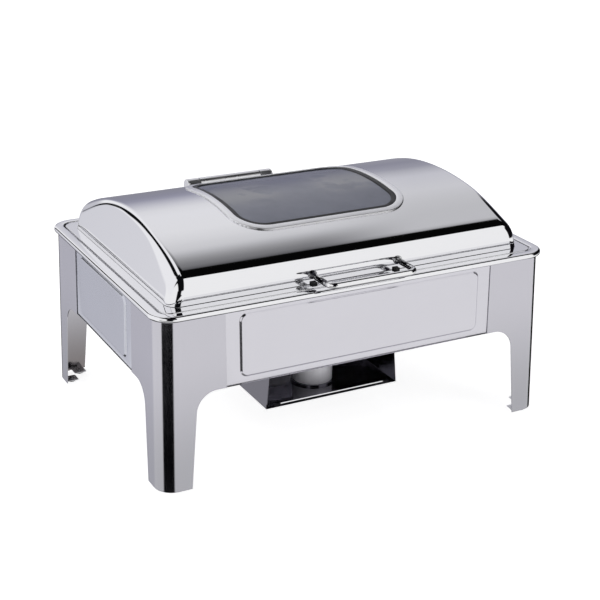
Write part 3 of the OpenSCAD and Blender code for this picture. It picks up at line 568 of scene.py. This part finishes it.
def makeHandle():
    bm = bmesh.new()
    half, wallY = handle["width"] / 2, -lid["width"] / 2 - handle["seat"]
    barY = -lid["width"] / 2 - handle["reach"]
    ring = bmesh.ops.create_circle(bm, cap_ends=True, segments=handle["sides"],
                                   radius=handle["rod"] / 2 - handle["shoulder"])["verts"]
    bmesh.ops.rotate(bm, verts=ring, cent=(0, 0, 0), matrix=Matrix.Rotation(math.pi / 2, 3, "X"))
    bmesh.ops.translate(bm, verts=ring, vec=(-half, wallY, handle["height"]))
    edges = list({e for v in ring for e in v.link_edges})

    def pull(edges, vec, grow=1.0, about=None):
        moved = bmesh.ops.extrude_edge_only(bm, edges=edges)["geom"]
        verts = [g for g in moved if isinstance(g, bmesh.types.BMVert)]
        bmesh.ops.translate(bm, verts=verts, vec=vec)
        if grow != 1.0:
            middle = sum((v.co for v in verts), Vector()) / len(verts)
            bmesh.ops.scale(bm, verts=verts, vec=(grow,) * 3, space=Matrix.Translation(-middle))
        return verts, [g for g in moved if isinstance(g, bmesh.types.BMEdge)]

    def turn(verts, edges, centre):
        spun = bmesh.ops.spin(bm, geom=verts + edges, cent=centre, axis=(0, 0, 1), angle=math.pi / 2,
                              steps=handle["bendSteps"], use_merge=False, use_duplicate=False)["geom_last"]
        return ([g for g in spun if isinstance(g, bmesh.types.BMVert)],
                [g for g in spun if isinstance(g, bmesh.types.BMEdge)])

    grow = (handle["rod"] / 2) / (handle["rod"] / 2 - handle["shoulder"])
    verts, edges = pull(edges, (0, -handle["shoulder"], 0), grow)
    verts, edges = pull(edges, (0, barY + handle["bend"] - wallY + handle["shoulder"], 0))
    verts, edges = turn(verts, edges, (-half + handle["bend"], barY + handle["bend"], handle["height"]))
    verts, edges = pull(edges, (handle["width"] - 2 * handle["bend"], 0, 0))
    verts, edges = turn(verts, edges, (half - handle["bend"], barY + handle["bend"], handle["height"]))
    verts, edges = pull(edges, (0, wallY - barY - handle["bend"] - handle["shoulder"], 0))
    verts, edges = pull(edges, (0, handle["shoulder"], 0), 1 / grow)
    bmesh.ops.contextual_create(bm, geom=verts)
    bmesh.ops.recalc_face_normals(bm, faces=bm.faces)
    for side in (-1, 1):
        stud = bmesh.ops.create_cone(bm, cap_ends=True, segments=20, radius1=2.5, radius2=2.5, depth=12)["verts"]
        bmesh.ops.rotate(bm, verts=stud, cent=(0, 0, 0), matrix=Matrix.Rotation(math.pi / 2, 3, "X"))
        bmesh.ops.translate(bm, verts=stud, vec=(side * half, wallY + 5, handle["height"]))
    finishPiece(bm, "lidHandle", "lid", "handleSteel", ["lid_handle"], sharp=60)


makeHandle()
print("handle made")



leg = {"arcSteps": 18, "tab": 20, "tabLow": 2.5, "tabSpots": [(287, 217.8), (308.8, 193)]}


def legOutline(seam, foot):
    # (distance from the middle, height) points down one face, from the seam to the foot
    slope = math.atan(stand["lean"])
    cz = stand["archHeight"] - stand["archRadius"]
    cx = foot - stand["lean"] * cz - stand["archRadius"] / math.cos(slope)
    arc = arcPoints((cx, cz), stand["archRadius"], 90, math.degrees(slope), 16)
    return [(seam, stand["height"]), (seam, stand["archHeight"])] + arc + [
        (foot - stand["lean"] * stand["lift"], stand["lift"])]


def makeLeg(name, node, sx, sy):
    bm = bmesh.new()
    half = stand["corner"] * math.pi / 4
    length, width = stand["length"] / 2, stand["width"] / 2

    def flat(face, z, outer):
        return outer + stand["splay"] * (1 - z / stand["height"]) - stand["corner"] - face + half

    front = [(flat(x, z, length), z) for x, z in legOutline(stand["seamX"], stand["footX"])]
    side = [(-flat(y, z, width), z) for y, z in legOutline(stand["seamY"], stand["footY"])]
    points = [(u, 0, z) for u, z in front] + [(u, 0, z) for u, z in reversed(side)]
    verts = [bm.verts.new(p) for p in points]
    bm.faces.new(verts)
    for i in range(leg["arcSteps"] + 1):
        u = -half + 2 * half * i / leg["arcSteps"]
        bmesh.ops.bisect_plane(bm, geom=bm.verts[:] + bm.edges[:] + bm.faces[:], dist=0.001,
                               plane_co=(u, 0, 0), plane_no=(1, 0, 0))
    for v in bm.verts:
        u, z = v.co.x, v.co.z
        shift = stand["splay"] * (1 - z / stand["height"])
        inX, inY = length - stand["corner"], width - stand["corner"]
        if u > half:
            x, y = inX - (u - half), width
        elif u < -half:
            x, y = length, inY - (-u - half)
        else:
            turn = math.pi / 4 + u / stand["corner"]
            x, y = inX + stand["corner"] * math.cos(turn), inY + stand["corner"] * math.sin(turn)
        v.co = (sx * (x + shift), sy * (y + shift), z)
    bm.normal_update()
    face = max(bm.faces, key=lambda f: f.calc_area())
    outward = Vector((sx, sy, 0)).dot(face.normal)
    if outward < 0:
        bmesh.ops.reverse_faces(bm, faces=bm.faces)
    wall = finishPiece(bm, name, "stand", "legSteel", [node], sharp=40,
                       thickness=stand["sheet"], bevel=0.25)
    tabs = bmesh.new()
    for x, y in leg["tabSpots"]:
        cube = bmesh.ops.create_cube(tabs, size=1)["verts"]
        bmesh.ops.scale(tabs, verts=cube, vec=(leg["tab"], leg["tab"], stand["sheet"]))
        bmesh.ops.translate(tabs, verts=cube, vec=(sx * x, sy * y, leg["tabLow"] + stand["sheet"] / 2))
    upright = [e for e in tabs.edges if abs(e.verts[0].co.z - e.verts[1].co.z) > 0.5]
    bmesh.ops.bevel(tabs, geom=upright, offset=2.5, segments=4, profile=0.5, affect="EDGES", material=-1)
    tab = finishPiece(tabs, name + "Tabs", "stand", "tabSteel", sharp=40, bevel=0.2)
    return wall, tab


panel = {"lap": 12, "border": 20, "fieldRound": 12, "plateIn": 1.3, "fieldOut": 2.5, "sheet": 0.8,
         "return": 14, "steps": [(0.5, 0.08), (0.5, 0.32), (0.5, 0.42), (0.5, 0.43), (0.5, 0.43),
                                 (0.5, 0.42), (0.5, 0.30), (0.5, 0.10)]}


def makePanel(name, node, half, wallAt, turn, finish):
    bm = bmesh.new()
    low = stand["archHeight"] - stand["height"]
    fieldLow, fieldHigh = low + panel["border"] / 2, -4.5
    middle = (fieldLow + fieldHigh) / 2
    # drawn flat, with the outside up, then stood on the wall's slope
    face = roundedFace(bm, 2 * (half - panel["border"]), fieldHigh - fieldLow, panel["fieldRound"], 0, 10)
    bmesh.ops.translate(bm, verts=face.verts, vec=(0, middle, 0))
    loop = [e for e in face.edges]
    stepFace(bm, face, panel["steps"])
    wide = half + panel["lap"]
    corners, outer = addChain(bm, [(-wide, low, 0), (wide, low, 0), (wide, 0, 0), (-wide, 0, 0)], closed=True)
    bmesh.ops.triangle_fill(bm, edges=loop + outer, use_beauty=True, use_dissolve=False, normal=(0, 0, 1))
    bottom = [e for e in outer if all(abs(v.co.y - low) < 0.01 for v in e.verts)]
    for dy, dz in ((-0.3, -0.5), (0.0, -0.7), (0.0, -panel["return"])):
        moved = bmesh.ops.extrude_edge_only(bm, edges=bottom)["geom"]
        bmesh.ops.translate(bm, verts=[g for g in moved if isinstance(g, bmesh.types.BMVert)],
                            vec=(0, -dy if dy else 0.0, dz))
        bottom = [g for g in moved if isinstance(g, bmesh.types.BMEdge)
                  and all(v in moved for v in g.verts)]
    for f in bm.faces:
        if f.normal.z < -0.1:
            f.normal_flip()
    slope = math.atan(stand["splay"] / stand["height"])
    place = (Matrix.Rotation(math.radians(turn), 4, "Z")
             @ Matrix.Translation((0, wallAt, stand["height"]))
             @ Matrix.Rotation(slope, 4, "X")
             @ Matrix.Translation((0, -panel["plateIn"], 0))
             @ Matrix(((-1, 0, 0, 0), (0, 0, 1, 0), (0, 1, 0, 0), (0, 0, 0, 1))))
    bmesh.ops.transform(bm, matrix=place, verts=bm.verts)
    return finishPiece(bm, name, "stand", finish, [node], sharp=40, thickness=panel["sheet"])


rim = {"length": 640, "width": 458, "corner": 34, "bead": 4.5, "wide": 15, "top": 265,
       "ledge": 258.4, "ledgeWide": 16, "sheet": 1.4}


def makeRim():
    bead, sheet, high = rim["bead"], rim["sheet"], rim["top"]
    section = arcPoints((bead, high - bead), bead, 90, 345, 22)
    section += [(bead * 2 + 0.4, high - 2.6), (bead * 2 + 1.2, high - sheet - 0.3)]
    section += [(rim["wide"] - sheet - 0.4, high - sheet - 0.1), (rim["wide"] - sheet, high - sheet - 0.6)]
    section += [(rim["wide"] - sheet, rim["ledge"] - sheet)]
    section += [(rim["wide"] - sheet + rim["ledgeWide"], rim["ledge"] - sheet)]
    section += [(rim["wide"] - sheet + rim["ledgeWide"], rim["ledge"])]
    section += arcPoints((rim["wide"] + 1.2, rim["ledge"] + 1.2), 1.2, 270, 180, 4)
    section += arcPoints((rim["wide"] - 1.6, high - 1.6), 1.6, 0, 90, 5)
    bm = bmesh.new()
    sweepRound(bm, section, rim["length"], rim["width"], rim["corner"])
    return finishPiece(bm, "topRim", "stand", "rimSteel", ["top_rim"], sharp=50)


for sx, sy, label, node in ((-1, -1, "legFrontLeft", "leg_front_left"), (1, -1, "legFrontRight", "leg_front_right"),
                            (-1, 1, "legRearLeft", "leg_rear_left"), (1, 1, "legRearRight", "leg_rear_right")):
    makeLeg(label, node, sx, sy)
makePanel("panelFront", "panel_front", stand["seamX"], stand["width"] / 2, 180, "panelSteel")
makePanel("panelRear", "panel_rear", stand["seamX"], stand["width"] / 2, 0, "panelSteel")
makePanel("panelLeft", "panel_left", stand["seamY"], stand["length"] / 2, 90, "sideSteel")
makePanel("panelRight", "panel_right", stand["seamY"], stand["length"] / 2, -90, "sideSteel")
makeRim()
print("stand made")



waterPan = {"length": 605, "width": 423, "corner": 16.5, "top": 264.5, "low": 258.4,
            "wellLength": 510, "wellWidth": 305, "wellCorner": 38, "floor": 194.5, "sheet": 1.2}
foodPan = {"length": 530, "width": 325, "corner": 48, "under": 264.5, "flange": 13, "depth": 62, "sheet": 1.2}


def makeWaterPan():
    bm = bmesh.new()
    edge, lipRound, floorRound = 1.4, 3, 9
    face = roundedFace(bm, waterPan["length"], waterPan["width"], waterPan["corner"], waterPan["low"], 8)
    deck = stepFace(bm, face, [(0, waterPan["top"] - waterPan["low"] - edge)] + quarter(edge, 4, "rise"))
    deckLoop = [e for e in deck.edges]
    bmesh.ops.delete(bm, geom=[deck], context="FACES_ONLY")
    well = roundedFace(bm, waterPan["wellLength"] + 2 * lipRound, waterPan["wellWidth"] + 2 * lipRound,
                       waterPan["wellCorner"] + lipRound, waterPan["top"], 12)
    wellLoop = [e for e in well.edges]
    fall = waterPan["top"] - waterPan["floor"] - lipRound - floorRound
    stepFace(bm, well, quarter(lipRound, 5, "inward", -1) + [(0, -fall)]
             + quarter(floorRound, 6, "rise", -1))
    bmesh.ops.triangle_fill(bm, edges=deckLoop + wellLoop, use_beauty=True, use_dissolve=False, normal=(0, 0, 1))
    return finishPiece(bm, "waterPan", "stand", "deckSteel", ["water_pan"], sharp=40,
                       thickness=waterPan["sheet"])


def makeFoodPan():
    bm = bmesh.new()
    top = foodPan["under"] + foodPan["sheet"]
    lipRound, floorRound = 3, 10
    face = roundedFace(bm, foodPan["length"], foodPan["width"], foodPan["corner"], foodPan["under"] + 0.2, 12)
    fall = foodPan["depth"] - foodPan["sheet"] - lipRound - floorRound
    stepFace(bm, face, quarter(1.0, 3, "rise") + [(foodPan["flange"] - 1.0 - lipRound, 0)]
             + quarter(lipRound, 5, "inward", -1) + [(foodPan["sheet"], -fall - foodPan["sheet"])]
             + quarter(floorRound, 6, "rise", -1))
    return finishPiece(bm, "foodPan", "pan", "panSteel", ["food_pan"], sharp=40,
                       thickness=foodPan["sheet"] - 0.1)


makeWaterPan()
makeFoodPan()
print("pans made")



softened = [
    ("lid_bumpers", "lidBumpers", "stand", "black_rubber", "footRubber", 0.5),
    ("foot_pads", "footPads", "stand", "black_rubber", "footRubber", 0.5),
    ("foot_rivets", "footRivets", "stand", "polished_steel", "fixingSteel", 0.5),
    ("handle_washers", "handleWashers", "lid", "polished_steel", "handleSteel", 0.4),
    ("handle_nuts", "handleNuts", "lid", "satin_steel", "fixingSteel", 0.3),
    ("hinge_base", "hingeBase", "stand", "polished_steel", "hingeSteel", 0.6),
    ("hinge_pin", "hingePin", "stand", "polished_steel", "fixingSteel", 0.2),
    ("hinge_caps", "hingeCaps", "stand", "polished_steel", "hingeSteel", 0.4),
    ("hinge_washers", "hingeWashers", "stand", "black_nylon", "washerNylon", 0.2),
    ("hinge_screws", "hingeScrews", "stand", "satin_steel", "fixingSteel", 0.3),
    ("hinge_arm_left", "hingeArmLeft", "lid", "polished_steel", "hingeSteel", 0.6),
    ("hinge_arm_right", "hingeArmRight", "lid", "polished_steel", "hingeSteel", 0.6),
    ("hinge_arm_rivets", "hingeArmRivets", "lid", "satin_steel", "fixingSteel", 0.4),
    ("tray_rail_left", "trayRailLeft", "stand", "satin_steel", "panSteel", 0.25),
    ("tray_rail_right", "trayRailRight", "stand", "satin_steel", "panSteel", 0.25),
    ("rail_rivets", "railRivets", "stand", "satin_steel", "fixingSteel", 0.4),
    ("fuel_tray", "fuelTray", "tray", "tray_steel", "traySteel", 0.3),
    ("fuel_cup_front", "fuelCupFront", "cup_front", "satin_steel", "cupSteel", 0.4),
    ("fuel_cup_rear", "fuelCupRear", "cup_rear", "satin_steel", "cupSteel", 0.4),
    ("cup_cover_front", "cupCoverFront", "cover_front", "satin_steel", "cupSteel", 0.3),
    ("cup_cover_rear", "cupCoverRear", "cover_rear", "satin_steel", "cupSteel", 0.3),
]
for node, name, body, slot, finish, bevel in softened:
    softCopy(node, name, body, finish, bevel)
print("small parts made")



studio = {"floorSize": 30, "floorTone": 0.93, "floorGlow": 0.84, "worldStrength": 1.0}

floorBm = bmesh.new()
bmesh.ops.create_grid(floorBm, x_segments=1, y_segments=1, size=studio["floorSize"] / 2)
floorMesh = bpy.data.meshes.new("floor")
floorBm.to_mesh(floorMesh)
floorBm.free()
floor = bpy.data.objects.new("floor", floorMesh)
scene.collection.objects.link(floor)
floorPaint = bpy.data.materials.new("floorPaint")
floorPaint.use_nodes = True
paint = floorPaint.node_tree.nodes["Principled BSDF"]
paint.inputs["Base Color"].default_value = (studio["floorTone"],) * 3 + (1,)
paint.inputs["Roughness"].default_value = 0.9
paint.inputs["Specular IOR Level"].default_value = 0.0
paint.inputs["Emission Color"].default_value = (1, 1, 1, 1)
paint.inputs["Emission Strength"].default_value = studio["floorGlow"]
floorMesh.materials.append(floorPaint)
floor.visible_glossy = False      # the steel sees the soft cards of the studio instead


# Grey stops along a full turn, each (angle, grey, blue)
def toneRamp(tree, value, stops):
    ramp = addNode(tree, "ShaderNodeValToRGB", [("Fac", value)])
    elements = ramp.color_ramp.elements
    while len(elements) < len(stops):
        elements.new(0.5)
    for element, (angle, tone, blue) in zip(elements, stops):
        element.position = (angle + 180) / 360
        element.color = (tone, tone, blue, 1)
    return ramp.outputs[0]


# The studio is a round tent: soft grey behind, white in front, with dark gaps between the cards
def makeWorld():
    world = bpy.data.worlds.new("studioTent")
    scene.world = world
    world.use_nodes = True
    tree = world.node_tree
    back = tree.nodes["Background"]
    way = tree.nodes.new("ShaderNodeTexCoord").outputs["Generated"]
    split = addNode(tree, "ShaderNodeSeparateXYZ", [(0, way)])
    x, y, z = split.outputs
    pitch = mathNode(tree, "MULTIPLY", mathNode(tree, "ARCTAN2", z, y), 180 / math.pi)
    share = addNode(tree, "ShaderNodeMapRange", [("Value", pitch), ("From Min", -180.0), ("From Max", 180.0)])
    ramp = addNode(tree, "ShaderNodeValToRGB", [("Fac", share.outputs[0])])
    near = toneRamp(tree, share.outputs[0], [
        (-180, 0.96, 0.96), (-60, 0.95, 0.95), (-22, 0.35, 0.40), (-8, 0.26, 0.31), (4, 0.28, 0.35),
        (9, 0.33, 0.41), (14, 0.48, 0.55), (19, 0.64, 0.69), (24, 0.77, 0.80), (30, 0.82, 0.85),
        (44, 0.82, 0.84), (50, 0.76, 0.78), (57, 0.65, 0.67), (59.5, 0.50, 0.52), (62, 0.35, 0.36),
        (64.5, 0.24, 0.25), (67.4, 0.17, 0.18), (67.8, 0.002, 0.002), (112, 0.002, 0.002), (112.7, 0.96, 0.96)])
    far = toneRamp(tree, share.outputs[0], [
        (-180, 0.96, 0.96), (-60, 0.95, 0.95), (-22, 0.35, 0.40), (4, 0.28, 0.34), (14, 0.34, 0.40),
        (20, 0.48, 0.53), (26, 0.60, 0.65), (40, 0.66, 0.69), (50, 0.60, 0.62), (57, 0.57, 0.59),
        (67.4, 0.57, 0.59), (67.8, 0.002, 0.002), (112, 0.002, 0.002), (112.7, 0.96, 0.96)])
    azimuth = mathNode(tree, "MULTIPLY", mathNode(tree, "ARCTAN2", x, y), 180 / math.pi)
    around = addNode(tree, "ShaderNodeMapRange", [("Value", azimuth), ("From Min", -180.0), ("From Max", 180.0)])
    left = toneRamp(tree, around.outputs[0], [
        (-180, 0.95, 0.95), (-45, 0.95, 0.96), (-34, 0.84, 0.87), (-28, 0.74, 0.78), (-20, 0.66, 0.71),
        (-14, 0.58, 0.63), (180, 0.58, 0.63)])

    upper = gate(tree, z, 0.06, 2.0, 0.06)
    front = blend(tree, gate(tree, x, 0.48, 2.0, 0.04), near, far)
    tone = blend(tree, gate(tree, azimuth, -104, 5, 5), front, blend(tree, upper, left, (0.93, 0.93, 0.95, 1)))
    cards = [  # azimuth from, to, edge; height from, to, edge; how dark
        (-170, -106, 3, -0.58, -0.27, 0.02, 1.0),
        (-177, -141, 2, -0.24, -0.11, 0.01, 1.0),
        (-171, -141, 3, -0.13, 0.30, 0.01, 1.0),
        (39.5, 88, 1.5, -1.2, -0.28, 0.02, 1.0),
        (50, 128, 3, -0.15, 0.62, 0.04, 1.0),
        (-11, 31, 2, -1.2, -0.30, 0.02, 1.0),
        (-70, 100, 8, -1.2, -0.62, 0.05, 0.9),
        (-200, 200, 1, -1.2, -0.82, 0.05, 0.8),
    ]
    for low, high, soft, floorZ, topZ, softZ, dark in cards:
        mask = mathNode(tree, "MULTIPLY", gate(tree, azimuth, low, high, soft), gate(tree, z, floorZ, topZ, softZ))
        tone = blend(tree, mathNode(tree, "MULTIPLY", mask, dark), tone, (0.004, 0.004, 0.005, 1))
    slips = [  # x from, to, edge; pitch from, to, edge
        (-0.36, -0.23, 0.02, -3, 13, 2),
        (-0.42, -0.20, 0.02, 12, 80, 2),
        (-0.47, -0.06, 0.03, 78, 105, 3),
        (-0.55, 0.14, 0.03, 102, 168, 3),
    ]
    for low, high, soft, floorPitch, topPitch, softPitch in slips:
        mask = mathNode(tree, "MULTIPLY", gate(tree, x, low, high, soft),
                        gate(tree, pitch, floorPitch, topPitch, softPitch))
        tone = blend(tree, mask, tone, (0.004, 0.004, 0.005, 1))
    white = addNode(tree, "ShaderNodeMix", data_type="RGBA")
    direct = tree.nodes.new("ShaderNodeLightPath")
    tree.links.new(direct.outputs["Is Camera Ray"], white.inputs["Factor"])
    tree.links.new(tone, white.inputs["A"])
    white.inputs["B"].default_value = (1, 1, 1, 1)
    tree.links.new(white.outputs["Result"], back.inputs["Color"])
    back.inputs["Strength"].default_value = studio["worldStrength"]


makeWorld()
scene.view_settings.view_transform = "Standard"

camera = {"place": (-0.91942, -1.77612, 0.95604), "forward": (0.43010973, 0.81845906, -0.38095983),
          "roll": 0.717, "lens": 81.54, "shiftY": 0.025}
lens = bpy.data.cameras.new("camera")
lens.lens, lens.sensor_width, lens.shift_y = camera["lens"], 36, camera["shiftY"]
eye = bpy.data.objects.new("camera", lens)
scene.collection.objects.link(eye)
forward = Vector(camera["forward"]).normalized()
right = Vector((forward.y, -forward.x, 0)).normalized()
right = Matrix.Rotation(math.radians(-camera["roll"]), 3, forward) @ right
up = right.cross(forward)
turned = Matrix((right, up, -forward)).transposed().to_4x4()
eye.matrix_world = Matrix.Translation(camera["place"]) @ turned
scene.camera = eye
print("studio made")
